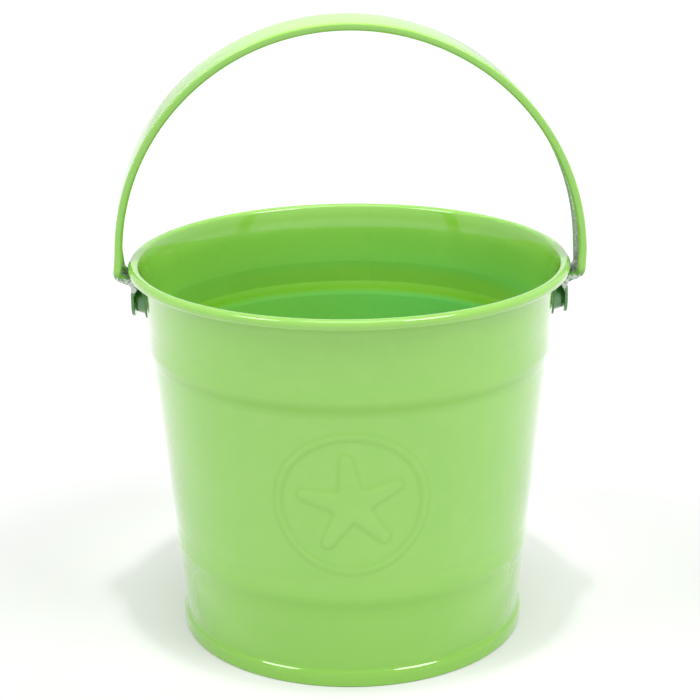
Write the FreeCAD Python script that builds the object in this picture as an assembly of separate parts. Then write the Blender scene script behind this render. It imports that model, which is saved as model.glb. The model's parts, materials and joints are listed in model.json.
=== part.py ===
import FreeCAD, Part
import math
import os

# Painted sheet-metal pail with a riveted strap handle. Millimetres, +Z up.
# The origin is the centre of the foot, on the ground. The hinge axis is along X.

# ---- Pail: driving dimensions ----
rim_radius = 82.5            # outside of the rolled rim
pail_height = 145.3          # ground to the top of the rolled rim
foot_radius = 66.3           # outside of the foot seam
sheet = 0.4                  # wall and base sheet
seam_gap = 0.04              # gap between folded layers of the foot seam
seam_height = 5.6            # ground to the top of the foot seam

# ---- Rolled rim ----
rim_wire_radius = 1.55       # steel ring inside the rim
wire_gap = 0.05              # between the ring and the sheet rolled round it
flare_height = 7.8           # the wall opens outwards over this height, up to the rim's top
flare_width = 1.75           # and by this much
curl_end_angle = -135.0      # the rolled edge stops here, close to the wall

# ---- Swages: short upright lands pressed outwards, each stepping in below ----
upper_land_ear_gap = 0.6     # between the ears' lower edge and the top of the upper land
upper_land_height = 8.5
lower_land_top = 42.5
lower_land_height = 6.5
swage_step_height = 5.5      # height of the step-in under a land
swage_bend = 5.0             # bend radius of the swages

# ---- Base ----
base_recess = 3.9            # ground to the underside of the base panel
base_ring_radius = 46.0      # pressed ring that stiffens the base
base_ring_rise = 0.9
base_ring_slope = 2.2
chuck_bend = 0.6

# ---- Ears ----
ear_sheet = 0.8
ear_gap = 0.02               # between the ear and the wall it is welded to
ear_half_width = 8.0
ear_half_height = 6.2
ear_corner = 4.6
boss_base_radius = 5.2
boss_crown_radius = 4.2
boss_reach = 4.05            # from the wall to the boss's crown, at the pivot
boss_crown_gap = 0.15        # between the boss and the strap
ear_flare_gap = 2.5          # between the ear's top edge and the flare above it

# ---- Rivets ----
rivet_radius = 1.5
rivet_head_radius = 2.8
rivet_head_depth = 0.8
rivet_tail_radius = 2.7
rivet_tail_depth = 0.9
pivot_gap = 0.05             # running clearance of the strap on the rivet
rivet_seat_gap = 0.02        # between the rivet and the ear it is set in

# ---- Handle: a strap with rolled edges, flat at both ends ----
strap_half_width = 8.0
strap_sheet = 1.2            # doubled sheet at the flat ends and across the face
strap_depth = 3.2            # over the rolled edges
strap_roll_width = 2.3       # width of one rolled edge
tab_half_width = 6.0         # the flat end that hangs on the rivet
arm_rim_gap = 2.3            # between the rim and the arms' rolled edges
arch_centre_above_rim = 0.8
joggle_rim_gap = 2.6         # from the rolled rim down to the rolled edges, where the strap starts outwards
joggle_rise = 2.8            # the strap climbs this much on its way outwards
joggle_inner_bend = 1.5
joggle_outer_bend = 4.5
taper_below_joggle = 1.5     # the strap widens from here
taper_height = 7.5           # over this height
run_out_height = 4.0         # the rolled edges run out over this height, below the joggle

# ---- Worked out from the sizes above ----
layer = sheet + seam_gap
body_wall_outer = foot_radius - 3 * layer
curl_outer_radius = rim_wire_radius + wire_gap + sheet
curl_inner_radius = rim_wire_radius + wire_gap
curl_centre_radius = rim_radius - curl_outer_radius
curl_centre_height = pail_height - curl_outer_radius
flare_start = pail_height - flare_height
wall_taper = ((curl_centre_radius - curl_inner_radius - flare_width - body_wall_outer)
              / (flare_start - seam_height))


def wall_radius(height):
    """Outer radius of the plain conical wall at a height."""
    return body_wall_outer + wall_taper * (height - seam_height)


pivot_height = flare_start - ear_flare_gap - ear_half_height
upper_land_top = pivot_height - ear_half_height - upper_land_ear_gap
boss_crown_x = wall_radius(pivot_height) + boss_reach
tab_inner_x = boss_crown_x + boss_crown_gap
tab_outer_x = tab_inner_x + strap_sheet
arch_radius = rim_radius + arm_rim_gap + strap_depth
arch_centre_height = pail_height + arch_centre_above_rim
joggle_low = pail_height - 2 * curl_outer_radius - joggle_rim_gap - strap_depth
joggle_high = joggle_low + joggle_rise
taper_low = joggle_low - taper_below_joggle
taper_high = taper_low + taper_height
OVERCUT = 1.0                # cutters run past the faces they cut by this much

ORIGIN = FreeCAD.Vector(0, 0, 0)
UP = FreeCAD.Vector(0, 0, 1)
ALONG_X = FreeCAD.Vector(1, 0, 0)
ALONG_Y = FreeCAD.Vector(0, 1, 0)


# ---- Outlines of bent sheet, drawn in the XZ plane ----

def xz(u, v):
    return FreeCAD.Vector(u, 0, v)


def line(a, b):
    return Part.LineSegment(a, b).toShape()


def arc(a, middle, b):
    return Part.Arc(a, middle, b).toShape()


def offset_path(points, bends, offset):
    """Edges of a bent line, shifted to its left by offset.

    bends holds one radius for each inner point. A bend to the left gets
    tighter by the offset and a bend to the right gets wider.
    """
    runs = []
    for start, end in zip(points[:-1], points[1:]):
        length = math.hypot(end[0] - start[0], end[1] - start[1])
        runs.append(((end[0] - start[0]) / length, (end[1] - start[1]) / length))
    edges = []
    here = shift_left(points[0], runs[0], offset)
    for index, bend in enumerate(bends):
        into, out = runs[index], runs[index + 1]
        corner = points[index + 1]
        turn = math.atan2(into[0] * out[1] - into[1] * out[0],
                          into[0] * out[0] + into[1] * out[1])
        side = math.copysign(1.0, turn)
        reach = bend * math.tan(abs(turn) / 2)
        first = (corner[0] - into[0] * reach, corner[1] - into[1] * reach)
        last = (corner[0] + out[0] * reach, corner[1] + out[1] * reach)
        centre = shift_left(first, into, side * bend)
        radius = bend - side * offset
        half = math.atan2(into[1], into[0]) + turn / 2 - side * math.pi / 2
        bend_start = shift_left(first, into, offset)
        bend_end = shift_left(last, out, offset)
        bend_middle = (centre[0] + radius * math.cos(half), centre[1] + radius * math.sin(half))
        if math.dist(here, bend_start) > 1e-6:
            edges.append(line(xz(*here), xz(*bend_start)))
        edges.append(arc(xz(*bend_start), xz(*bend_middle), xz(*bend_end)))
        here = bend_end
    end = shift_left(points[-1], runs[-1], offset)
    edges.append(line(xz(*here), xz(*end)))
    return edges, end


def shift_left(point, direction, distance):
    return (point[0] - direction[1] * distance, point[1] + direction[0] * distance)


def start_of(points, offset):
    run = (points[1][0] - points[0][0], points[1][1] - points[0][1])
    length = math.hypot(*run)
    return shift_left(points[0], (run[0] / length, run[1] / length), offset)


def face_from(edges):
    return Part.Face(Part.Wire(Part.sortEdges(edges)[0]))


def sheet_face(points, bends, first, last):
    """Section of a bent sheet between two offsets to the left of the points."""
    near, near_end = offset_path(points, bends, first)
    far, far_end = offset_path(points, bends, last)
    caps = [line(xz(*start_of(points, first)), xz(*start_of(points, last))),
            line(xz(*near_end), xz(*far_end))]
    return face_from(near + far + caps)


def revolved(face):
    return face.revolve(ORIGIN, UP, 360)


# ---- Pail ----

def swage(land_top, land_height):
    """Points of one swage, going up: bottom of the step-in, land, top of the land."""
    land = wall_radius(land_top)
    land_bottom = land_top - land_height
    step_bottom = land_bottom - swage_step_height
    return [(wall_radius(step_bottom), step_bottom), (land, land_bottom), (land, land_top)]


def curl_point(radius, angle):
    return (curl_centre_radius + radius * math.cos(angle),
            curl_centre_height + radius * math.sin(angle))


def make_wall():
    """One sheet: foot hook, conical wall, two swages, and the rim rolled outwards."""
    hook_face = body_wall_outer + layer + seam_gap
    hook_top = seam_height - sheet - 2 * (sheet + seam_gap)
    hook_bottom = 2 * sheet + seam_gap
    flare_point = (wall_radius(flare_start), flare_start)

    # The flare runs straight into the curl, along a tangent of the curl's circle.
    away = (flare_point[0] - curl_centre_radius, flare_point[1] - curl_centre_height)
    tangent_angle = math.atan2(away[1], away[0]) - math.acos(curl_inner_radius / math.hypot(*away))
    tangent_angle += 2 * math.pi
    curl_end = math.radians(curl_end_angle)
    curl_middle = (tangent_angle + curl_end) / 2

    hook_bend = (hook_face - body_wall_outer) / 2
    points = [(hook_face, hook_top), (hook_face, hook_bottom), (body_wall_outer, hook_bottom)]
    bends = [hook_bend, hook_bend]
    points.append((body_wall_outer, seam_height))
    bends.append(swage_bend)
    for land_top, land_height in ((lower_land_top, lower_land_height),
                                  (upper_land_top, upper_land_height)):
        points += swage(land_top, land_height)
        bends += [swage_bend] * 3
    points.append(flare_point)
    bends.append(swage_bend)
    points.append(curl_point(curl_inner_radius, tangent_angle))

    outer, _ = offset_path(points, bends, 0.0)
    inner, _ = offset_path(points, bends, sheet)
    curls = [arc(xz(*curl_point(radius, tangent_angle)),
                 xz(*curl_point(radius, curl_middle)),
                 xz(*curl_point(radius, curl_end)))
             for radius in (curl_inner_radius, curl_outer_radius)]
    caps = [line(xz(*start_of(points, 0.0)), xz(*start_of(points, sheet))),
            line(xz(*curl_point(curl_inner_radius, curl_end)),
                 xz(*curl_point(curl_outer_radius, curl_end)))]
    return revolved(face_from(outer + inner + curls + caps))


def make_rim_wire():
    return Part.makeTorus(curl_centre_radius, rim_wire_radius,
                          FreeCAD.Vector(0, 0, curl_centre_height), UP)


def make_base_pan():
    """Pressed base: ringed panel, and an edge folded round the wall's foot hook."""
    chuck_face = body_wall_outer - sheet - layer
    hook_face = body_wall_outer + seam_gap
    hook_end = 3 * sheet + 3 * seam_gap
    raised = base_recess + base_ring_rise
    fold = (foot_radius - hook_face) / 2
    points = [(0.0, raised),
              (base_ring_radius - base_ring_slope, raised),
              (base_ring_radius, base_recess),
              (chuck_face, base_recess),
              (chuck_face, 0.0),
              (foot_radius, 0.0),
              (foot_radius, seam_height),
              (hook_face, seam_height),
              (hook_face, hook_end)]
    bends = [1.5, 1.5, chuck_bend, chuck_bend, chuck_bend, fold, fold]
    near, near_end = offset_path(points, bends, 0.0)
    far, far_end = offset_path(points, bends, sheet)
    caps = [line(xz(0.0, raised), xz(0.0, raised + sheet)), line(xz(*near_end), xz(*far_end))]
    return revolved(face_from(near + far + caps))


# ---- Ears and rivets, made for +X and turned for -X ----

def rounded_prism(half_width, low, high, corner, x_from, x_to):
    """Rounded rectangle in the YZ plane, extruded along X."""
    box = Part.makeBox(x_to - x_from, 2 * half_width, high - low,
                       FreeCAD.Vector(x_from, -half_width, low))
    along = [edge for edge in box.Edges
             if abs(edge.tangentAt(edge.FirstParameter).x) > 0.99]
    return box.makeFillet(corner, along)


def cone_about_z(extra, low, high):
    """Solid cone parallel to the wall, with its face this far outside it."""
    return Part.makeCone(wall_radius(low) + extra, wall_radius(high) + extra, high - low,
                         FreeCAD.Vector(0, 0, low), UP)


def disc_x(radius_in, radius_out, x_in, x_out):
    """Round piece along X at the pivot, from its inner to its outer end."""
    base = FreeCAD.Vector(x_in, 0, pivot_height)
    if radius_in == radius_out:
        return Part.makeCylinder(radius_in, x_out - x_in, base, ALONG_X)
    return Part.makeCone(radius_in, radius_out, x_out - x_in, base, ALONG_X)


def make_ear():
    """Plate bent to the wall, with a hollow boss pressed out for the rivet."""
    low = pivot_height - ear_half_height
    high = pivot_height + ear_half_height
    under = cone_about_z(ear_gap, low - OVERCUT, high + OVERCUT)
    over = cone_about_z(ear_gap + ear_sheet, low - OVERCUT, high + OVERCUT)
    outline = rounded_prism(ear_half_width, low, high, ear_corner, tab_outer_x / 2, rim_radius)
    plate = over.common(outline)
    boss = disc_x(boss_base_radius, boss_crown_radius, wall_radius(low), boss_crown_x)
    hollow = disc_x(boss_base_radius - ear_sheet, boss_crown_radius - ear_sheet,
                    wall_radius(low), boss_crown_x - ear_sheet)
    hole = disc_x(rivet_radius + rivet_seat_gap, rivet_radius + rivet_seat_gap,
                  wall_radius(low), boss_crown_x + OVERCUT)
    return plate.fuse(boss).cut(hollow).cut(under).cut(hole).removeSplitter()


def make_rivet():
    """Flush head, shank through strap and boss, and a tail set inside the boss."""
    crown_inside = boss_crown_x - ear_sheet - rivet_seat_gap
    tail_end = crown_inside - rivet_tail_depth
    head = disc_x(rivet_radius, rivet_head_radius, tab_outer_x - rivet_head_depth, tab_outer_x)
    shank = disc_x(rivet_radius, rivet_radius, tail_end, tab_outer_x - rivet_head_depth)
    tail = disc_x(rivet_tail_radius, rivet_tail_radius, tail_end, crown_inside)
    tail = tail.makeFillet(0.3, [edge for edge in tail.Edges if edge.BoundBox.XLength < 1e-3])
    return head.fuse(shank).fuse(tail).removeSplitter()


def turned(shape):
    copy = shape.copy()
    copy.rotate(ORIGIN, UP, 180)
    return copy


# ---- Handle ----

def strap_points():
    """Outer face of the strap in the XZ plane, from one tip over the arch to the other."""
    right = [(tab_outer_x, pivot_height - tab_half_width),
             (tab_outer_x, joggle_low),
             (arch_radius, joggle_high)]
    top = arch_centre_height + arch_radius
    left = [(-x, z) for x, z in reversed(right)]
    return right + [(arch_radius, top), (-arch_radius, top)] + left


def front_outline(inset):
    """Prism along X whose YZ section is the strap's front outline, made smaller by inset."""
    tab = tab_half_width - inset
    full = strap_half_width - inset
    low, high = taper_low, taper_high
    top = arch_centre_height + arch_radius + OVERCUT
    x = -arch_radius - OVERCUT

    def point(y, z):
        return FreeCAD.Vector(x, y, z)

    edges = [arc(point(-tab, pivot_height), point(0, pivot_height - tab), point(tab, pivot_height)),
             line(point(tab, pivot_height), point(tab, low)),
             line(point(tab, low), point(full, high)),
             line(point(full, high), point(full, top)),
             line(point(full, top), point(-full, top)),
             line(point(-full, top), point(-full, high)),
             line(point(-full, high), point(-tab, low)),
             line(point(-tab, low), point(-tab, pivot_height))]
    return face_from(edges).extrude(ALONG_X * -2 * x)


def across(face, half_width):
    """Extrude a face of the XZ plane to both sides of it."""
    solid = face.extrude(ALONG_Y * 2 * half_width)
    solid.translate(ALONG_Y * -half_width)
    return solid


def strap_section(first, last):
    """The whole strap between two depths under its outer face, at its full width."""
    bends = [joggle_inner_bend, joggle_outer_bend, arch_radius, arch_radius,
             joggle_outer_bend, joggle_inner_bend]
    return across(sheet_face(strap_points(), bends, first, last), strap_half_width)


def make_rolled_edges():
    """Both rolled edges, over the arch and through the joggles, running out on the tabs."""
    middle = tab_outer_x - strap_sheet / 2
    inside = tab_outer_x - strap_depth
    slope = run_out_height / (middle - inside)
    tip = pivot_height - tab_half_width - OVERCUT
    corners = [xz(middle, joggle_low - run_out_height),
               xz(inside - OVERCUT, joggle_low + OVERCUT * slope),
               xz(inside - OVERCUT, tip), xz(middle, tip)]
    below = [line(a, b) for a, b in zip(corners, corners[1:] + corners[:1])]
    run_out = across(face_from(below), strap_half_width + OVERCUT)
    edges = strap_section(strap_sheet / 2, strap_depth).common(front_outline(0.0))
    return edges.cut(front_outline(strap_roll_width)).cut(run_out).cut(turned(run_out))


def make_handle():
    ribbon = strap_section(0.0, strap_sheet)
    strap = ribbon.common(front_outline(0.0)).fuse(make_rolled_edges())
    hole_radius = rivet_radius + pivot_gap
    sink_slope = (rivet_head_radius - rivet_radius) / rivet_head_depth
    sink_gap = pivot_gap * math.hypot(1, sink_slope)
    hole = disc_x(hole_radius, hole_radius, tab_inner_x - OVERCUT, tab_outer_x + OVERCUT)
    sink = disc_x(rivet_radius + sink_gap, rivet_head_radius + sink_gap,
                  tab_outer_x - rivet_head_depth, tab_outer_x)
    cutter = hole.fuse(sink)
    return strap.cut(cutter).cut(turned(cutter)).removeSplitter()


def main():
    os.makedirs("parts", exist_ok=True)
    ear = make_ear()
    rivet = make_rivet()
    nodes = {
        "wall": make_wall(),
        "rim_wire": make_rim_wire(),
        "base_pan": make_base_pan(),
        "right_ear": ear,
        "left_ear": turned(ear),
        "right_rivet": rivet,
        "left_rivet": turned(rivet),
        "handle": make_handle(),
    }
    for name, shape in nodes.items():
        box = shape.BoundBox
        print(name, shape.ShapeType, "solids", len(shape.Solids), "valid", shape.isValid(),
              "volume %.1f" % shape.Volume,
              "x %.2f %.2f y %.2f %.2f z %.2f %.2f" % (box.XMin, box.XMax, box.YMin, box.YMax,
                                                    box.ZMin, box.ZMax))
        shape.exportStep("parts/%s.step" % name)


main()
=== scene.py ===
import json
import math

import bpy
import numpy as np
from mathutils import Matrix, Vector


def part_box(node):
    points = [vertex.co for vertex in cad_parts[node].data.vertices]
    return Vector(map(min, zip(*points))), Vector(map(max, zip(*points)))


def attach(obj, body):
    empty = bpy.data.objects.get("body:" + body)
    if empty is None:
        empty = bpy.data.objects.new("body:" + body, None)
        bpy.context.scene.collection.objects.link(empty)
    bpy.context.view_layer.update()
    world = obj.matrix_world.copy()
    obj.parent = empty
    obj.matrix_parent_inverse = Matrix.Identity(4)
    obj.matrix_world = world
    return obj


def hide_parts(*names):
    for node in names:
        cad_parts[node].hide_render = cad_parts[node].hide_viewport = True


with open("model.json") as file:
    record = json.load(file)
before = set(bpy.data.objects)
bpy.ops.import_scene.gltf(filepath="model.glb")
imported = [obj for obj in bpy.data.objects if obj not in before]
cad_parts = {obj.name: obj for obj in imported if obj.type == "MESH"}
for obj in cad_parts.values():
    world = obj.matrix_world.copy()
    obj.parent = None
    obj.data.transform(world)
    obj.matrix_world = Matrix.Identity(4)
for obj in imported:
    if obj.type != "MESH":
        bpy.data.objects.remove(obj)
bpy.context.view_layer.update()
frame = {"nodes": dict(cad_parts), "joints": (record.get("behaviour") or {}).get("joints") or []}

# A child's painted metal pail. All lengths are in metres, so MM turns millimetres into them.
MM = 0.001
rng = np.random.default_rng(7)


# ---- Sizes read from the frame ----

wall_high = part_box("wall")[1]
base_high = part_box("base_pan")[1]
wire_low, wire_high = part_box("rim_wire")
strap_low, strap_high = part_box("handle")
ear_low, ear_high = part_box("right_ear")
rivet_low, rivet_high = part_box("right_rivet")
hinge = Vector(frame["joints"][0]["pos_m"])

RIM_RADIUS = wall_high.x
PAIL_HEIGHT = wall_high.z
FOOT_RADIUS = base_high.x
SEAM_HEIGHT = base_high.z
WIRE_RADIUS = (wire_high.z - wire_low.z) / 2
ARCH_RADIUS = strap_high.x
STRAP_HALF = strap_high.y
ARCH_CENTRE = strap_high.z - ARCH_RADIUS
PIVOT = hinge.z
TAB_HALF = PIVOT - strap_low.z
TAB_OUTER = rivet_high.x
BOSS_CROWN = ear_high.x
EAR_HALF_WIDTH = ear_high.y
EAR_HALF_HEIGHT = (ear_high.z - ear_low.z) / 2
RIVET_HEAD_RADIUS = rivet_high.z - PIVOT
RIVET_TAIL_X = rivet_low.x

# ---- Sizes of the sheet work ----

SHEET = 0.4 * MM
SEAM_GAP = 0.04 * MM
WIRE_GAP = 0.05 * MM
FLARE_HEIGHT = 7.8 * MM
FLARE_WIDTH = 1.75 * MM
CURL_END = math.radians(-135)
UPPER_LAND_TOP = PAIL_HEIGHT - 23.3 * MM
UPPER_LAND_HEIGHT = 8.5 * MM
LOWER_LAND_TOP = 42.5 * MM
LOWER_LAND_HEIGHT = 6.5 * MM
SWAGE_STEP = 5.5 * MM
SWAGE_BEND = 3.0 * MM
FLARE_BEND = 35.0 * MM
BASE_RECESS = 3.9 * MM
BASE_RING_RADIUS = 46.0 * MM
BASE_RING_RISE = 0.9 * MM
BASE_RING_SLOPE = 2.2 * MM
CHUCK_BEND = 0.6 * MM
SHOULDER_HEIGHT = 5.2 * MM
SHOULDER_BEND = 2.0 * MM
PAINT_TOP = 6.4 * MM
PAINT_BEND = 1.5 * MM
PAINT_END = 8.2 * MM
EAR_SHEET = 0.8 * MM
BOSS_CROWN_RADIUS = 4.0 * MM
BOSS_FOOT_RADIUS = 5.7 * MM
RIVET_RADIUS = 1.5 * MM
RIVET_HEAD_DEPTH = 0.8 * MM
RIVET_DOME = 0.22 * MM
PIVOT_GAP = 0.05 * MM
STRAP_DEPTH = 3.2 * MM
FLAT_DEPTH = 1.2 * MM
STRAP_SHEET = 0.7 * MM
STRAP_CROWN = 0.2 * MM
STRAP_CORNER = 0.7 * MM
STRAP_ROLL = 1.1 * MM
FLAT_CORNER = 0.3 * MM
JOGGLE_RIM_GAP = 4.6 * MM
JOGGLE_RISE = 2.8 * MM
JOGGLE_INNER_BEND = 1.5 * MM
JOGGLE_OUTER_BEND = 4.5 * MM
TAPER_BELOW = 1.5 * MM
TAPER_HEIGHT = 7.5 * MM
RUN_OUT = 4.0 * MM

LAYER = SHEET + SEAM_GAP
BODY_OUTER = FOOT_RADIUS - 3 * LAYER
CURL_INNER = WIRE_RADIUS + WIRE_GAP
CURL_OUTER = CURL_INNER + SHEET
CURL_R = RIM_RADIUS - CURL_OUTER
CURL_Z = PAIL_HEIGHT - CURL_OUTER
FLARE_START = PAIL_HEIGHT - FLARE_HEIGHT
TAPER = (CURL_R - CURL_INNER - FLARE_WIDTH - BODY_OUTER) / (FLARE_START - SEAM_HEIGHT)
JOGGLE_LOW = PAIL_HEIGHT - 2 * CURL_OUTER - JOGGLE_RIM_GAP - FLAT_DEPTH
JOGGLE_HIGH = JOGGLE_LOW + JOGGLE_RISE


def wall_radius(z):
    """Outer radius of the plain conical wall."""
    return BODY_OUTER + TAPER * (z - SEAM_HEIGHT)


def smooth_step(x):
    x = np.clip(x, 0.0, 1.0)
    return x * x * (3 - 2 * x)


def near(distance, width):
    """1 at no distance, falling off like a bell over the width."""
    return np.exp(-(distance / width) ** 2)


def turn_from(centre, angles):
    """The short way round from centre to each angle."""
    return (angles - centre + math.pi) % (2 * math.pi) - math.pi


def full_turn(count):
    return np.arange(count) * 2 * math.pi / count


# ---- Outlines of bent sheet ----

def shifted(point, run, distance):
    return (point[0] - run[1] * distance, point[1] + run[0] * distance)


def bent_line(points, bends, offset, turn_step):
    """Points along a bent line, shifted to its left by offset."""
    runs = []
    for a, b in zip(points[:-1], points[1:]):
        length = math.hypot(b[0] - a[0], b[1] - a[1])
        runs.append(((b[0] - a[0]) / length, (b[1] - a[1]) / length))
    path = [shifted(points[0], runs[0], offset)]
    for corner, into, out, bend in zip(points[1:-1], runs[:-1], runs[1:], bends):
        turn = math.atan2(into[0] * out[1] - into[1] * out[0], into[0] * out[0] + into[1] * out[1])
        side = math.copysign(1.0, turn)
        reach = bend * math.tan(abs(turn) / 2)
        first = (corner[0] - into[0] * reach, corner[1] - into[1] * reach)
        centre = shifted(first, into, side * bend)
        radius = bend - side * offset
        start = math.atan2(into[1], into[0]) - side * math.pi / 2
        steps = max(2, math.ceil(abs(turn) / turn_step))
        for i in range(steps + 1):
            angle = start + turn * i / steps
            path.append((centre[0] + radius * math.cos(angle), centre[1] + radius * math.sin(angle)))
    path.append(shifted(points[-1], runs[-1], offset))
    return path


def divided(path, longest):
    """The same line with no run longer than longest(point)."""
    out = [path[0]]
    for a, b in zip(path[:-1], path[1:]):
        length = math.dist(a, b)
        if length < 1e-7:
            continue
        middle = ((a[0] + b[0]) / 2, (a[1] + b[1]) / 2)
        count = max(1, math.ceil(length / longest(middle)))
        for i in range(1, count + 1):
            out.append((a[0] + (b[0] - a[0]) * i / count, a[1] + (b[1] - a[1]) * i / count))
    return out


# ---- Meshes ----

def new_piece(name, vertices, faces, material, body, nodes, sharp=40):
    mesh = bpy.data.meshes.new(name)
    mesh.from_pydata([tuple(v) for v in vertices], [], [tuple(f) for f in faces])
    return finish_piece(name, mesh, material, body, nodes, sharp)


def finish_piece(name, mesh, material, body, nodes, sharp):
    mesh.validate()
    mesh.polygons.foreach_set("use_smooth", [True] * len(mesh.polygons))
    mesh.set_sharp_from_angle(angle=math.radians(sharp))
    piece = bpy.data.objects.new(name, mesh)
    bpy.context.scene.collection.objects.link(piece)
    piece.data.materials.clear()
    piece.data.materials.append(material)
    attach(piece, body)
    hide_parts(*nodes)
    return piece


def grid_faces(rows, columns, wrap_rows, wrap_columns):
    i, j = np.meshgrid(np.arange(rows if wrap_rows else rows - 1),
                       np.arange(columns if wrap_columns else columns - 1), indexing="ij")
    down, across = (i + 1) % rows, (j + 1) % columns
    faces = np.stack([i * columns + j, i * columns + across,
                      down * columns + across, down * columns + j], axis=-1)
    return faces.reshape(-1, 4)


def spun(profile, angles, move=None):
    """Vertices of an outline of (radius, height) points turned about Z."""
    r = np.array([p[0] for p in profile])[:, None] + 0 * angles
    z = np.array([p[1] for p in profile])[:, None] + 0 * angles
    if move is not None:
        r = r + move(angles[None, :], z)
    return np.stack([r * np.cos(angles), r * np.sin(angles), z], axis=-1).reshape(-1, 3)


def store(piece, name, amount):
    """Keeps one amount from 0 to 1 at each vertex, which the enamel reads by its name."""
    layer = piece.data.attributes.new(name, "FLOAT", "POINT")
    layer.data.foreach_set("value", np.clip(amount, 0, 1).astype(np.float32))


def vertex_table(piece):
    table = np.empty(len(piece.data.vertices) * 3, np.float32)
    piece.data.vertices.foreach_get("co", table)
    return table.reshape(-1, 3).astype(float)


# ---- Materials ----

class Nodes:
    """Short names for building a material's node tree."""

    def __init__(self, name):
        self.material = bpy.data.materials.new(name)
        self.material.use_nodes = True
        self.tree = self.material.node_tree
        self.shader = self.tree.nodes["Principled BSDF"]
        self.place = self.add("ShaderNodeTexCoord").outputs["Object"]

    def add(self, kind, **values):
        node = self.tree.nodes.new(kind)
        for key, value in values.items():
            setattr(node, key, value)
        return node

    def link(self, a, b):
        self.tree.links.new(a, b)

    def noise(self, scale, detail=3.0, rough=0.5, stretch=None):
        node = self.add("ShaderNodeTexNoise")
        node.inputs["Scale"].default_value = scale
        node.inputs["Detail"].default_value = detail
        node.inputs["Roughness"].default_value = rough
        place = self.place
        if stretch:
            mapping = self.add("ShaderNodeMapping")
            mapping.inputs["Scale"].default_value = stretch
            self.link(place, mapping.inputs["Vector"])
            place = mapping.outputs["Vector"]
        self.link(place, node.inputs["Vector"])
        return node.outputs["Fac"]

    def ranged(self, value, low, high, to_low=0.0, to_high=1.0):
        node = self.add("ShaderNodeMapRange")
        node.inputs["From Min"].default_value = low
        node.inputs["From Max"].default_value = high
        node.inputs["To Min"].default_value = to_low
        node.inputs["To Max"].default_value = to_high
        self.link(value, node.inputs["Value"])
        return node.outputs["Result"]

    def math(self, operation, a, b):
        node = self.add("ShaderNodeMath", operation=operation)
        for socket, value in zip(node.inputs, (a, b)):
            if isinstance(value, (int, float)):
                socket.default_value = value
            else:
                self.link(value, socket)
        return node.outputs[0]

    def mix(self, factor, a, b):
        node = self.add("ShaderNodeMix", data_type="RGBA")
        self.link(factor, node.inputs["Factor"])
        for key, value in (("A", a), ("B", b)):
            socket = [s for s in node.inputs if s.name == key and s.type == "RGBA"][0]
            if isinstance(value, tuple):
                socket.default_value = (*value, 1.0)
            else:
                self.link(value, socket)
        return [s for s in node.outputs if s.type == "RGBA"][0]

    def bump(self, height, distance, strength, after=None):
        node = self.add("ShaderNodeBump")
        node.inputs["Distance"].default_value = distance
        node.inputs["Strength"].default_value = strength
        self.link(height, node.inputs["Height"])
        if after is not None:
            self.link(after, node.inputs["Normal"])
        return node.outputs["Normal"]


ENAMEL = (0.255, 0.560, 0.070)
ENAMEL_DEEP = (0.240, 0.545, 0.064)
ENAMEL_THIN = (0.275, 0.575, 0.085)
# Painted shade: the deeper green on the lower wall, the foot, the swage steps, under the rim and round the
# pressed decoration.
ENAMEL_SHADE = (0.190, 0.485, 0.018)
# Painted shade: the cooler green inside the pail.
ENAMEL_INSIDE_SHADE = (0.150, 0.560, 0.120)
# Painted shade: the dark green on the ears and on the strap's tabs under the rim.
ENAMEL_HINGE_SHADE = (0.012, 0.170, 0.025)
# Bare zinc, both tones made pale so that bare metal also carries a painted reflection of the bright
# surroundings.
ZINC_AND_SHEEN = (0.78, 0.82, 0.79)
ZINC_DARK = (0.38, 0.41, 0.39)


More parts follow.
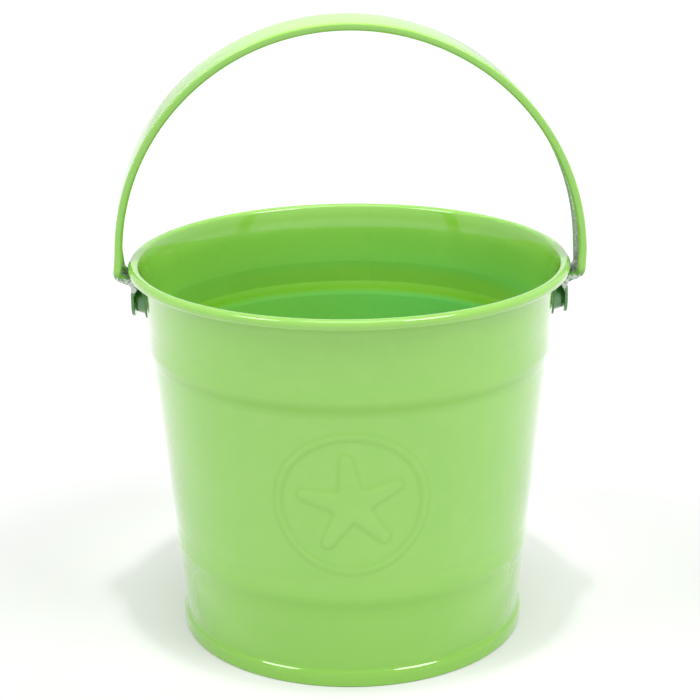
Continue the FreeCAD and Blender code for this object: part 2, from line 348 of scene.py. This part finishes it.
def enamel(name):
    """Gloss paint over zinc: slight mottle, orange peel, painted shade, bare metal where worn, and bare
    metal painted in as a reflection along the handle's channel.
    """
    n = Nodes(name)
    cloudy = n.noise(22.0, 2.0)
    paint = n.mix(n.ranged(cloudy, 0.35, 0.65), ENAMEL_DEEP, ENAMEL)
    thin = n.ranged(n.noise(120.0, 3.0, 0.5), 0.50, 0.75, 0.0, 0.5)
    paint = n.mix(thin, paint, ENAMEL_THIN)

    # Painted shade, read from its vertex attribute.
    shaded = n.add("ShaderNodeAttribute", attribute_name="painted_shade").outputs["Fac"]
    paint = n.mix(shaded, paint, ENAMEL_SHADE)
    # Painted shade inside the pail, read from the inside attribute.
    inside = n.add("ShaderNodeAttribute", attribute_name="inside").outputs["Fac"]
    paint = n.mix(inside, paint, ENAMEL_INSIDE_SHADE)
    # Painted shade on the ears and tabs, broken up by a fine mottle.
    hinge_shade = n.add("ShaderNodeAttribute", attribute_name="hinge_shade").outputs["Fac"]
    patchy = n.ranged(n.noise(380.0, 4.0, 0.6), 0.30, 0.70, 0.75, 1.0)
    paint = n.mix(n.math("MULTIPLY", hinge_shade, patchy), paint, ENAMEL_HINGE_SHADE)

    # Bare metal where the paint is worn, and along the handle's channel as a painted reflection.
    wear_and_glint = n.add("ShaderNodeAttribute", attribute_name="wear_and_reflection").outputs["Fac"]
    ragged = n.noise(900.0, 5.0, 0.65)
    bare_metal_and_glint = n.ranged(n.math("ADD", wear_and_glint, n.ranged(ragged, 0.0, 1.0, -0.5, 0.5)), 0.50, 0.62)
    metal = n.mix(n.ranged(n.noise(1500.0, 4.0, 0.7), 0.35, 0.65), ZINC_DARK, ZINC_AND_SHEEN)
    n.link(n.mix(bare_metal_and_glint, paint, metal), n.shader.inputs["Base Color"])
    # Bare metal is only partly metallic, so it lights up pale like the painted reflection it stands for in
    # the channel.
    n.link(n.math("MULTIPLY", bare_metal_and_glint, 0.45), n.shader.inputs["Metallic"])

    smear = n.noise(60.0, 4.0, 0.6)
    rough = n.ranged(smear, 0.3, 0.75, 0.10, 0.20)
    n.link(n.math("ADD", rough, n.math("MULTIPLY", bare_metal_and_glint, 0.22)), n.shader.inputs["Roughness"])
    n.shader.inputs["IOR"].default_value = 1.5
    n.shader.inputs["Coat Weight"].default_value = 1.0
    n.shader.inputs["Coat IOR"].default_value = 1.62
    n.shader.inputs["Coat Roughness"].default_value = 0.06

    peel = n.bump(n.noise(420.0, 2.0, 0.45), 0.00012, 0.35)
    edge = n.bump(bare_metal_and_glint, 0.00006, 0.6, peel)
    n.link(edge, n.shader.inputs["Normal"])
    return n.material


def bare_zinc(name):
    n = Nodes(name)
    tone = n.mix(n.ranged(n.noise(600.0, 5.0, 0.65), 0.35, 0.65), ZINC_DARK, ZINC_AND_SHEEN)
    n.link(tone, n.shader.inputs["Base Color"])
    n.shader.inputs["Metallic"].default_value = 1.0
    n.link(n.ranged(n.noise(900.0, 4.0), 0.3, 0.7, 0.3, 0.5), n.shader.inputs["Roughness"])
    n.link(n.bump(n.noise(1400.0, 3.0), 0.00008, 0.4), n.shader.inputs["Normal"])
    return n.material


def floor_material():
    n = Nodes("floor_paper")
    tone = n.mix(n.ranged(n.noise(3.0, 3.0), 0.3, 0.7), (0.77, 0.77, 0.77), (0.79, 0.79, 0.79))
    n.link(tone, n.shader.inputs["Base Color"])
    n.shader.inputs["Roughness"].default_value = 0.9
    return n.material


# How worn the paint is, from 0 where it is whole to 1 where the metal is bare; the channel's amount paints
# bare metal in as a reflection, not wear.
RIM_WEAR = 0.10
RIM_OVER_EAR_WEAR = 0.28
GROUND_WEAR = 0.42
EAR_WEAR = 0.12
BOSS_WEAR = 0.5
RIVET_WEAR = 0.25
RIVET_DOME_WEAR = 0.35
JOGGLE_WEAR = 0.34
JOGGLE_INNER_WEAR = 0.26
STRAP_EDGE_WEAR = 0.10
STRAP_TIP_WEAR = 0.35
# Painted reflection: bright bare metal along the right arm's channel.
CHANNEL_REFLECTION = 0.78

green = enamel("green_enamel")
zinc = bare_zinc("bare_zinc")


# ---- Wall ----

RELIEF_HEIGHT = 0.45 * MM
RELIEF_Z = 74.0 * MM
RING_RADIUS = 26.5 * MM
RING_HALF_WIDTH = 0.6 * MM
ARM_LENGTH = 17.5 * MM
ARM_ROOT = 4.4 * MM
ARM_TIP = 1.8 * MM
RELIEF_SLOPE = 0.9 * MM
FRONT = -math.pi / 2
RING_SHARE = 0.8
RELIEF_REACH = RING_RADIUS + 3 * MM
WELD_ANGLE = math.radians(83)
WELD_HEIGHT = 0.06 * MM
WELD_HALF_WIDTH = 0.9 * MM
WAVE_COUNT = 6
WAVE_HEIGHT = 0.045 * MM
LANDS = ((LOWER_LAND_TOP, LOWER_LAND_HEIGHT), (UPPER_LAND_TOP, UPPER_LAND_HEIGHT))


def starfish(a, h):
    """Signed distance outside a plain five-armed starfish, in metres."""
    soft = 1.6 * MM
    nearest = np.full(np.shape(a + h), 1.0)
    for k in range(5):
        angle = math.radians(90 + 72 * k + 6)
        along = np.clip((a * math.cos(angle) + h * math.sin(angle)) / ARM_LENGTH, 0, 1)
        gap = np.hypot(a - along * ARM_LENGTH * math.cos(angle),
                       h - along * ARM_LENGTH * math.sin(angle))
        arm = gap - (ARM_ROOT + (ARM_TIP - ARM_ROOT) * along)
        blend = np.clip(0.5 + 0.5 * (arm - nearest) / soft, 0, 1)
        nearest = arm * (1 - blend) + nearest * blend - soft * blend * (1 - blend)
    return nearest


def relief(angles, z):
    """How far the pressed decoration moves the wall outwards."""
    a = turn_from(FRONT, angles) * wall_radius(RELIEF_Z)
    h = z - RELIEF_Z
    star = smooth_step(0.5 - starfish(a, h) / RELIEF_SLOPE)
    ring = smooth_step(1 - (np.abs(np.hypot(a, h) - RING_RADIUS) - RING_HALF_WIDTH) / RELIEF_SLOPE)
    return RELIEF_HEIGHT * np.maximum(star, RING_SHARE * ring)


WAVES = [(int(rng.integers(2, 7)), rng.uniform(0, 2 * math.pi), rng.uniform(15, 45),
          rng.uniform(0, 2 * math.pi)) for _ in range(WAVE_COUNT)]


def waviness(angles, z):
    """Slight unevenness of thin rolled sheet, gone at the stiff rim and foot."""
    free = smooth_step((z - 8 * MM) / (25 * MM)) * smooth_step((FLARE_START - z) / (25 * MM))
    total = 0 * angles * z
    for count, phase, pitch, shift in WAVES:
        total = total + np.sin(count * angles + phase) * np.sin(z * pitch + shift)
    return WAVE_HEIGHT * free * total


def weld(angles, z):
    """Flush weld up the back, ground almost level."""
    return WELD_HEIGHT * near(turn_from(WELD_ANGLE, angles) * wall_radius(z), WELD_HALF_WIDTH)


def wall_move(angles, z):
    return relief(angles, z) + waviness(angles, z) + weld(angles, z)


def wall_outline():
    hook = BODY_OUTER + LAYER + SEAM_GAP
    hook_top = SEAM_HEIGHT - SHEET - 2 * LAYER
    hook_bottom = 2 * SHEET + SEAM_GAP
    flare = (wall_radius(FLARE_START), FLARE_START)
    away = (flare[0] - CURL_R, flare[1] - CURL_Z)
    tangent = math.atan2(away[1], away[0]) - math.acos(CURL_INNER / math.hypot(*away)) + 2 * math.pi
    points = [(hook, hook_top), (hook, hook_bottom), (BODY_OUTER, hook_bottom),
              (BODY_OUTER, SEAM_HEIGHT)]
    bends = [(hook - BODY_OUTER) / 2] * 2 + [SWAGE_BEND]
    for top, height in LANDS:
        step = top - height - SWAGE_STEP
        points += [(wall_radius(step), step), (wall_radius(top), top - height), (wall_radius(top), top)]
        bends += [SWAGE_BEND] * 3
    points += [flare, (CURL_R + CURL_INNER * math.cos(tangent), CURL_Z + CURL_INNER * math.sin(tangent))]
    bends.append(FLARE_BEND)

    def curl(radius):
        angles = np.linspace(tangent, CURL_END, 26)[1:]
        return [(CURL_R + radius * math.cos(t), CURL_Z + radius * math.sin(t)) for t in angles]

    def longest(point):
        decorated = abs(point[1] - RELIEF_Z) < RELIEF_REACH
        return (1.0 if decorated else 5.0) * MM

    outer = divided(bent_line(points, bends, 0.0, math.radians(5)), longest) + curl(CURL_INNER)
    inner = divided(bent_line(points, bends, SHEET, math.radians(5)), longest) + curl(CURL_OUTER)
    return outer + inner[::-1]


def fine_angles(step, spots):
    """Angles round the circle, closer together round each (centre, half width, step) spot."""
    angles = [0.0]
    while angles[-1] < 2 * math.pi - 1e-9:
        here = angles[-1]
        size = step
        for centre, half, fine in spots:
            if abs(turn_from(centre, here)) < half:
                size = fine
        angles.append(here + size)
    return np.array(angles[:-1]) * (2 * math.pi / angles[-1])


def wall_painted_shade(at):
    """Painted shade: a deeper green towards the bottom, in the steps, under the rim and round the pressed
    decoration.
    """
    z, radius = at[:, 2], np.hypot(at[:, 0], at[:, 1])
    angles = np.arctan2(at[:, 1], at[:, 0])
    outside = radius > wall_radius(z) - SHEET / 2
    painted_shade = 0.75 * smooth_step((56 * MM - z) / (45 * MM))
    for top, height in LANDS:
        painted_shade = painted_shade + near(z - (top - height - 0.55 * SWAGE_STEP), 0.42 * SWAGE_STEP)
    under_rim = near(z - (CURL_Z - CURL_OUTER * 0.9), 1.5 * MM) * (radius < CURL_R - CURL_OUTER * 0.7)
    a, h = turn_from(FRONT, angles) * wall_radius(RELIEF_Z), z - RELIEF_Z
    ring = np.abs(np.abs(np.hypot(a, h) - RING_RADIUS) - RING_HALF_WIDTH - RELIEF_SLOPE)
    star = starfish(a, h) - 0.7 * RELIEF_SLOPE
    relief_outline_shade = np.maximum(near(ring, 0.7 * MM), near(star, 0.7 * MM))
    return outside * (painted_shade + 0.8 * under_rim + 0.5 * relief_outline_shade)


def wall_inside_shade(at):
    """Painted shade inside: a cooler green that deepens away from the rim and to the right, with a band of
    it at the upper step.
    """
    z, radius = at[:, 2], np.hypot(at[:, 0], at[:, 1])
    inner = radius < wall_radius(z) - SHEET / 2
    coat = smooth_step((PAIL_HEIGHT - z) / (42 * MM)) * (0.62 + 0.55 * at[:, 0] / RIM_RADIUS)
    step = near(z - (UPPER_LAND_TOP - UPPER_LAND_HEIGHT - SWAGE_STEP / 2), 2.6 * MM)
    return inner * (coat + 0.5 * step)


def make_wall():
    outline = wall_outline()
    relief_half = RELIEF_REACH / wall_radius(RELIEF_Z)
    spots = [(FRONT, relief_half, math.radians(0.6)), (WELD_ANGLE, math.radians(1.6), math.radians(0.2))]
    angles = fine_angles(math.radians(1.8), spots)
    vertices = spun(outline, angles, wall_move)
    faces = grid_faces(len(outline), len(angles), True, True)
    piece = new_piece("pail_wall", vertices, faces, green, "pail", ["wall"])
    at = vertex_table(piece)
    rim_edge = 1.2 * MM
    rim = smooth_step((at[:, 2] - (PAIL_HEIGHT - rim_edge)) / rim_edge)
    ears = near(at[:, 1], 7 * MM) * smooth_step((at[:, 2] - FLARE_START) / (4 * MM))
    ears = ears * (np.hypot(at[:, 0], at[:, 1]) > CURL_R)
    # Painted shade on the outside of the wall.
    store(piece, "painted_shade", wall_painted_shade(at))
    # Painted shade inside the pail.
    store(piece, "inside", wall_inside_shade(at))
    store(piece, "wear_and_reflection", RIM_WEAR * rim + RIM_OVER_EAR_WEAR * ears)


# ---- Base ----

def base_outline():
    """Under side and top side of the base, the under side as painted: it fills the seam's crevice."""
    chuck = BODY_OUTER - SHEET - LAYER
    hook = BODY_OUTER + SEAM_GAP
    raised = BASE_RECESS + BASE_RING_RISE
    ring = BASE_RING_RADIUS - BASE_RING_SLOPE
    skin, pocket = 0.014 * MM, 0.004 * MM
    under = [(0.0, raised), (ring, raised), (BASE_RING_RADIUS, BASE_RECESS), (chuck, BASE_RECESS),
             (chuck, 0.0), (FOOT_RADIUS, 0.0), (FOOT_RADIUS, SHOULDER_HEIGHT),
             (wall_radius(PAINT_TOP) + skin, PAINT_TOP), (wall_radius(PAINT_END) + skin, PAINT_END)]
    over = [(0.0, raised + SHEET), (ring, raised + SHEET), (BASE_RING_RADIUS, BASE_RECESS + SHEET),
            (chuck + SHEET, BASE_RECESS + SHEET), (chuck + SHEET, SHEET), (FOOT_RADIUS - SHEET, SHEET),
            (FOOT_RADIUS - SHEET, SEAM_HEIGHT - 2 * SHEET), (hook + SHEET, SEAM_HEIGHT - 2 * SHEET),
            (hook + SHEET, 3 * LAYER), (hook, 3 * LAYER), (hook, SEAM_HEIGHT),
            (wall_radius(PAINT_END) + pocket, PAINT_END)]
    ring_bend, fold = 1.5 * MM, 0.2 * MM
    under = bent_line(under, [ring_bend, ring_bend, CHUCK_BEND, CHUCK_BEND, CHUCK_BEND,
                              SHOULDER_BEND, PAINT_BEND], 0.0, math.radians(5))
    over = bent_line(over, [ring_bend, ring_bend, CHUCK_BEND, fold, fold, fold, fold, 0.05 * MM,
                            0.05 * MM, 2 * MM], 0.0, math.radians(15))
    return [divided(side, lambda point: 6 * MM) for side in (under, over)], raised


def make_base():
    (under, over), raised = base_outline()
    outline = under[1:] + over[:0:-1]
    angles = np.linspace(0, 2 * math.pi, 320, endpoint=False)
    rows, columns = len(outline), len(angles)
    bottom, top = rows * columns, rows * columns + 1
    last = (rows - 1) * columns
    vertices = np.vstack([spun(outline, angles), [(0, 0, raised), (0, 0, raised + SHEET)]])
    faces = [list(f) for f in grid_faces(rows, columns, False, True)]
    for j in range(columns):
        k = (j + 1) % columns
        faces.append([bottom, k, j])
        faces.append([top, last + j, last + k])
    piece = new_piece("base_pan_sheet", vertices, faces, green, "pail", ["base_pan"])
    at = vertex_table(piece)
    radius = np.hypot(at[:, 0], at[:, 1])
    ground = smooth_step((1.0 * MM - at[:, 2]) / (1.0 * MM)) * (radius > BODY_OUTER - 1.5 * MM)
    store(piece, "wear_and_reflection", GROUND_WEAR * ground)
    # Painted shade: the whole foot seam a deeper green.
    store(piece, "painted_shade", 0.8 * (radius > BODY_OUTER))


# ---- Ears ----

# Rings of vertices from the rivet's hole over the boss to its foot, as radii in millimetres.
BOSS_RINGS = (1.52, 2.6, 3.4, 3.9, 4.15, 4.4, 4.65, 4.9, 5.15, 5.4, 5.65)


def ear_edge(angle):
    """Distance from the pivot to the ear's rounded edge."""
    power = 3.4
    c, s = abs(math.cos(angle)) / EAR_HALF_WIDTH, abs(math.sin(angle)) / EAR_HALF_HEIGHT
    return (c ** power + s ** power) ** (-1 / power)


def ear_surface(y, z, radius):
    """Outer face of the ear at +X: the wall's cone with the boss pressed out of it."""
    plate = np.sqrt(wall_radius(z) ** 2 - y ** 2) + EAR_SHEET + 0.02 * MM
    rise = smooth_step((BOSS_FOOT_RADIUS - radius) / (BOSS_FOOT_RADIUS - BOSS_CROWN_RADIUS))
    return plate + (BOSS_CROWN - plate) * rise


def make_ear(name, side):
    turns = 72
    edge_round = 0.25 * MM
    angles = full_turn(turns)
    edges = np.array([ear_edge(a) for a in angles])
    radii = [np.full(turns, r * MM) for r in BOSS_RINGS]
    boss_foot = radii[-1]
    for share in (0.35, 0.7, 1.0):
        radii.append(boss_foot + (edges - edge_round - boss_foot) * share)
    corner = 0.07 * MM
    rows = radii + [edges - corner, edges, edges, edges - corner] + radii[::-1]
    depth = [0.0] * len(radii)
    depth += [corner, edge_round, EAR_SHEET - edge_round, EAR_SHEET - corner]
    depth += [EAR_SHEET] * len(radii)
    vertices = []
    for r, d in zip(rows, depth):
        y, z = r * np.cos(angles), PIVOT + r * np.sin(angles)
        x = ear_surface(y, z, r) - d
        vertices.append(np.stack([side * x, side * y, z], axis=-1))
    vertices = np.vstack(vertices)
    faces = grid_faces(len(rows), turns, True, True)
    piece = new_piece(name + "_plate", vertices, faces, green, "pail", [name])
    at = vertex_table(piece)
    crown = smooth_step((np.abs(at[:, 0]) - (BOSS_CROWN - 0.8 * MM)) / (0.8 * MM))
    store(piece, "wear_and_reflection", EAR_WEAR + BOSS_WEAR * crown)
    # Painted shade over the whole ear, which sits under the rim.
    store(piece, "hinge_shade", np.ones(len(at)))


# ---- Rivets ----

def make_rivet(name, side):
    tail_depth, tail_radius = 0.9 * MM, 2.7 * MM
    dome = RIVET_DOME
    head_x = TAB_OUTER
    outline = [(RIVET_TAIL_X, 0.0), (RIVET_TAIL_X, 2.4 * MM), (RIVET_TAIL_X + 0.3 * MM, tail_radius),
               (RIVET_TAIL_X + tail_depth - 0.2 * MM, tail_radius),
               (RIVET_TAIL_X + tail_depth, 2.55 * MM),
               (RIVET_TAIL_X + tail_depth, RIVET_RADIUS), (head_x - RIVET_HEAD_DEPTH, RIVET_RADIUS),
               (head_x - 0.05 * MM, RIVET_HEAD_RADIUS - 0.05 * MM), (head_x, RIVET_HEAD_RADIUS - 0.08 * MM)]
    for share in (0.9, 0.75, 0.55, 0.35, 0.15):
        outline.append((head_x + dome * (1 - share ** 2), RIVET_HEAD_RADIUS * share))
    outline.append((head_x + dome, 0.0))
    turns = 64
    angles = full_turn(turns)
    vertices = []
    for x, r in outline[1:-1]:
        vertices.append(np.stack([side * x + 0 * angles, side * r * np.cos(angles),
                                  PIVOT + r * np.sin(angles)], axis=-1))
    rows = len(vertices)
    ends = [(side * outline[0][0], 0, PIVOT), (side * outline[-1][0], 0, PIVOT)]
    vertices = np.vstack(vertices + [ends])
    faces = [list(f)[::-1] for f in grid_faces(rows, turns, False, True)]
    tail, crown = rows * turns, rows * turns + 1
    last = (rows - 1) * turns
    for j in range(turns):
        k = (j + 1) % turns
        faces.append([tail, j, k])
        faces.append([crown, last + k, last + j])
    piece = new_piece(name + "_flush", vertices, faces, green, "pail", [name], 30)
    at = vertex_table(piece)
    domed = smooth_step((np.abs(at[:, 0]) - head_x) / dome)
    store(piece, "wear_and_reflection", RIVET_WEAR + RIVET_DOME_WEAR * domed)


# ---- Handle ----

def quarter(centre, radius, start, end, count):
    """Points after the first of an arc, in degrees."""
    turns = np.radians(np.linspace(start, end, count + 1)[1:])
    return [(centre[0] + radius * math.cos(t), centre[1] + radius * math.sin(t)) for t in turns]


def strap_section():
    """Half of the strap's section as (across, outwards), from the middle of its outer face round the
    rolled edge to the middle of the channel: where it is rolled, and point for point where it is flat."""
    shoulder, flat_shoulder = STRAP_HALF - STRAP_CORNER, STRAP_HALF - FLAT_CORNER
    roll = (STRAP_HALF - STRAP_ROLL, STRAP_ROLL - STRAP_DEPTH)
    rolled = [(shoulder * t, -STRAP_CROWN * t ** 2) for t in np.linspace(0, 1, 9)]
    rolled += quarter((shoulder, -STRAP_CROWN - STRAP_CORNER), STRAP_CORNER, 90, 0, 5)
    rolled += quarter(roll, STRAP_ROLL, 0, -180, 12)
    flat = [(flat_shoulder * t, 0.0) for t in np.linspace(0, 1, 9)]
    flat += quarter((flat_shoulder, -FLAT_CORNER), FLAT_CORNER, 90, 0, 5)
    flat += quarter((flat_shoulder, FLAT_CORNER - FLAT_DEPTH), FLAT_CORNER, 0, -90, 6)
    flat_step = 0.3 * MM
    flat += [(flat_shoulder - flat_step * k, -FLAT_DEPTH) for k in range(1, 7)]
    floor, flat_floor = rolled[-1][0] - 0.1 * MM, flat[-1][0] - flat_step
    for t in np.linspace(1, 0, 8):
        rolled.append((floor * t, -STRAP_CROWN * t ** 2 - STRAP_SHEET))
        flat.append((flat_floor * t, -FLAT_DEPTH))
    return np.array(rolled), np.array(flat)


def mirrored(half):
    return np.vstack([half, half[-2:0:-1] * np.array([-1, 1])])


def strap_half_width(z):
    """Half the strap's width at a height: a round end, a narrow tab, then the full strap."""
    wide = smooth_step((z - JOGGLE_LOW + TAPER_BELOW) / TAPER_HEIGHT)
    width = TAB_HALF + (STRAP_HALF - TAB_HALF) * wide
    if z < PIVOT:
        width = math.sqrt(max(TAB_HALF ** 2 - (PIVOT - z) ** 2, 0.0))
    return width


# Degrees of twist at degrees round the arch, from the right arm.
TWIST_ROUND = (0, 45, 90, 135, 180)
TWIST = (3, 0, -5, -8, -7)


def strap_twist(x, z):
    """A light hand twist of the arch, in radians, fading out above the joggles."""
    turned = math.degrees(math.atan2(max(z - ARCH_CENTRE, 0.0), x))
    fade = float(smooth_step((z - JOGGLE_HIGH) / (12 * MM)))
    return math.radians(np.interp(turned, TWIST_ROUND, TWIST)) * fade


def strap_path():
    """Outer face of the strap in the XZ plane, from one tip over the arch to the other."""
    top = ARCH_CENTRE + ARCH_RADIUS
    right = [(TAB_OUTER, PIVOT - TAB_HALF), (TAB_OUTER, JOGGLE_LOW), (ARCH_RADIUS, JOGGLE_HIGH)]
    left = [(-x, z) for x, z in right[::-1]]
    points = right + [(ARCH_RADIUS, top), (-ARCH_RADIUS, top)] + left
    bends = [JOGGLE_INNER_BEND, JOGGLE_OUTER_BEND, ARCH_RADIUS, ARCH_RADIUS,
             JOGGLE_OUTER_BEND, JOGGLE_INNER_BEND]

    def longest(point):
        return (0.7 if point[1] < PIVOT else 1.2 if point[1] < PAIL_HEIGHT else 1.8) * MM

    path = divided(bent_line(points, bends, 0.0, math.radians(1.5)), longest)
    tip = [(TAB_OUTER, PIVOT - TAB_HALF * math.cos(math.radians(t))) for t in (0, 7, 14, 21, 28, 35)]
    middle = [p for p in path if p[1] > tip[-1][1] + 0.2 * MM]
    return tip + middle + [(-x, z) for x, z in tip[::-1]]


def hole_cutter(side):
    """Countersunk rivet hole through one tab, with running clearance."""
    hole, sink = RIVET_RADIUS + PIVOT_GAP, RIVET_HEAD_RADIUS + 2 * PIVOT_GAP
    outline = [(TAB_OUTER - 3 * MM, hole), (TAB_OUTER - RIVET_HEAD_DEPTH - PIVOT_GAP, hole),
               (TAB_OUTER, sink), (TAB_OUTER + MM, sink)]
    turns = 48
    angles = full_turn(turns)
    rings = [np.stack([side * x + 0 * angles, side * r * np.cos(angles), PIVOT + r * np.sin(angles)],
                      axis=-1) for x, r in outline]
    faces = [list(f)[::-1] for f in grid_faces(len(rings), turns, False, True)]
    faces.append(list(range(turns)))
    faces.append([(len(rings) - 1) * turns + j for j in range(turns)][::-1])
    mesh = bpy.data.meshes.new("hole")
    mesh.from_pydata([tuple(v) for v in np.vstack(rings)], [], faces)
    cutter = bpy.data.objects.new("hole", mesh)
    bpy.context.scene.collection.objects.link(cutter)
    return cutter


def cut_holes(mesh):
    """The strap's mesh with a rivet hole cut through each tab."""
    blank = bpy.data.objects.new("strap_blank", mesh)
    bpy.context.scene.collection.objects.link(blank)
    cutters = [hole_cutter(side) for side in (1, -1)]
    for cutter in cutters:
        cut = blank.modifiers.new("hole", "BOOLEAN")
        cut.object, cut.operation, cut.solver = cutter, "DIFFERENCE", "EXACT"
    done = bpy.data.meshes.new_from_object(blank.evaluated_get(bpy.context.evaluated_depsgraph_get()))
    for helper in [blank, *cutters]:
        old = helper.data
        bpy.data.objects.remove(helper)
        bpy.data.meshes.remove(old)
    done.name = "handle_strap"
    return done


def strap_mesh():
    """Sections of the strap swept along its path and closed at both tips."""
    crowned, flat = (mirrored(half) for half in strap_section())
    path = strap_path()
    rings = []
    for i, (x, z) in enumerate(path):
        before, after = path[max(i - 1, 0)], path[min(i + 1, len(path) - 1)]
        run = np.array([after[0] - before[0], after[1] - before[1]])
        run /= np.hypot(*run)
        rolled = float(smooth_step((z - JOGGLE_LOW + RUN_OUT) / RUN_OUT))
        section = flat + (crowned - flat) * rolled
        width = max(strap_half_width(z), 0.25 * MM) / STRAP_HALF
        y, v = section[:, 0] * width, section[:, 1] + STRAP_DEPTH / 2
        twist = strap_twist(x, z)
        y, v = (y * math.cos(twist) + v * math.sin(twist),
                v * math.cos(twist) - y * math.sin(twist) - STRAP_DEPTH / 2)
        rings.append(np.stack([x + run[1] * v, y, z - run[0] * v], axis=-1))
    rows, columns = len(path), len(crowned)
    faces = [list(f) for f in grid_faces(rows, columns, False, True)]
    faces.append(list(range(columns))[::-1])
    faces.append([(rows - 1) * columns + j for j in range(columns)])
    mesh = bpy.data.meshes.new("strap")
    mesh.from_pydata([tuple(v) for v in np.vstack(rings)], [], faces)
    return mesh


def strap_channel_reflection(at):
    """Painted reflection: a bright, silvery bare-metal stripe in the channel between the rolled edges, on
    the inner side of the right arm.
    """
    x, across, z = at[:, 0], at[:, 1], at[:, 2]
    channel = smooth_step((across + STRAP_HALF - 2 * STRAP_ROLL) / (0.6 * MM)) * (x > 0)
    channel = channel * (across < STRAP_HALF - STRAP_ROLL)
    channel = channel * smooth_step((PAIL_HEIGHT + 70 * MM - z) / (35 * MM)) * (z > JOGGLE_HIGH)
    reach = np.hypot(np.abs(x), np.maximum(z - ARCH_CENTRE, 0))
    return channel * (reach < ARCH_RADIUS - 0.5 * STRAP_SHEET)


def make_strap():
    mesh = cut_holes(strap_mesh())
    piece = finish_piece("handle_strap", mesh, green, "handle", ["handle"], 40)
    at = vertex_table(piece)
    x, y, z = np.abs(at[:, 0]), np.abs(at[:, 1]), at[:, 2]
    joggle = smooth_step((JOGGLE_HIGH + 5 * MM - z) / (6 * MM)) * smooth_step((z - PIVOT) / (5 * MM))
    inside = smooth_step((ARCH_RADIUS - 0.6 * MM - x) / (1.2 * MM))
    edge = smooth_step((y - 0.75 * STRAP_HALF) / (0.2 * STRAP_HALF))
    tip = smooth_step((PIVOT - 4.2 * MM - z) / (1.5 * MM))
    wear_and_reflection = joggle * (JOGGLE_WEAR + JOGGLE_INNER_WEAR * inside) + STRAP_EDGE_WEAR * edge
    # Real wear plus the painted reflection along the channel.
    wear_and_reflection = wear_and_reflection + STRAP_TIP_WEAR * tip + CHANNEL_REFLECTION * strap_channel_reflection(at)
    store(piece, "wear_and_reflection", wear_and_reflection)
    # Painted shade on the tab below the joggle, deeper on its inner side.
    tab_shade = smooth_step((JOGGLE_HIGH + 4 * MM - z) / (5 * MM))
    store(piece, "hinge_shade", tab_shade * (0.45 + 0.5 * inside))


make_wall()
make_base()
for side, hand in ((1, "right"), (-1, "left")):
    make_ear(hand + "_ear", side)
    make_rivet(hand + "_rivet", side)
make_strap()

wire = frame["nodes"]["rim_wire"]
wire.data.materials.clear()
wire.data.materials.append(zinc)


# ---- Floor, light and camera ----

def make_floor():
    mesh = bpy.data.meshes.new("floor")
    half = 20.0
    mesh.from_pydata([(-half, -half, 0), (half, -half, 0), (half, half, 0), (-half, half, 0)], [],
                     [(0, 1, 2, 3)])
    floor = bpy.data.objects.new("floor", mesh)
    bpy.context.scene.collection.objects.link(floor)
    floor.data.materials.append(floor_material())


def soft_box(name, place, target, size, power, spread=180, in_gloss=False):
    """A rectangular light, which shows in reflections only where in_gloss is true."""
    light = bpy.data.lights.new(name, "AREA")
    light.shape = "RECTANGLE"
    light.size, light.size_y = size
    light.energy = power
    light.spread = math.radians(spread)
    lamp = bpy.data.objects.new(name, light)
    lamp.visible_glossy = in_gloss
    lamp.location = place
    lamp.rotation_euler = (Vector(target) - Vector(place)).to_track_quat("-Z", "Y").to_euler()
    bpy.context.scene.collection.objects.link(lamp)


def soft_sun(name, round_front, up, width, power):
    """A far, wide light: degrees to the right of the front, degrees up, and degrees across."""
    light = bpy.data.lights.new(name, "SUN")
    light.angle = math.radians(width)
    light.energy = power
    lamp = bpy.data.objects.new(name, light)
    side, rise = math.radians(round_front), math.radians(up)
    toward = Vector((math.sin(side) * math.cos(rise), -math.cos(side) * math.cos(rise), math.sin(rise)))
    lamp.location = toward * 2
    lamp.rotation_euler = (-toward).to_track_quat("-Z", "Y").to_euler()
    bpy.context.scene.collection.objects.link(lamp)


WORLD_STRENGTH = 0.82


def make_world():
    world = bpy.data.worlds.new("studio")
    world.use_nodes = True
    back = world.node_tree.nodes["Background"]
    back.inputs["Color"].default_value = (1.0, 1.0, 1.0, 1.0)
    back.inputs["Strength"].default_value = WORLD_STRENGTH
    bpy.context.scene.world = world


CAMERA_BACK = 689.3 * MM
CAMERA_HEIGHT = 335.9 * MM
CAMERA_PITCH = math.radians(18.30)
CAMERA_ROLL = math.radians(-0.58)
CAMERA_LENS = 98.1


def make_camera():
    camera = bpy.data.objects.new("camera", bpy.data.cameras.new("camera"))
    camera.data.lens = CAMERA_LENS
    camera.data.sensor_width = 36.0
    camera.data.clip_end = 50.0
    camera.location = (0, -CAMERA_BACK, CAMERA_HEIGHT)
    camera.rotation_mode = "XYZ"
    camera.rotation_euler = (math.pi / 2 - CAMERA_PITCH, 0, 0)
    camera.rotation_euler.rotate_axis("Z", CAMERA_ROLL)
    bpy.context.scene.collection.objects.link(camera)
    bpy.context.scene.camera = camera


make_floor()
make_world()
soft_sun("left_bank", -62, 50, 20, 0.56)
soft_sun("right_bank", 54, 52, 22, 0.80)
soft_sun("top", 6, 79, 36, 0.55)
soft_box("over", (0.0, -0.12, 1.0), (0, 0.01, 0.12), (0.08, 0.08), 0.052, 14)
soft_box("left_side", (-1.1, 0.35, 0.55), (0, 0, 0.1), (0.7, 1.3), 1.6)
soft_box("right_side", (1.1, 0.35, 0.55), (0, 0, 0.1), (0.7, 1.3), 2.6)
soft_box("back", (0, 2.6, 1.15), (0, 0, 0.2), (3.0, 1.5), 1.2, in_gloss=True)
make_camera()
bpy.context.scene.view_settings.view_transform = "Standard"
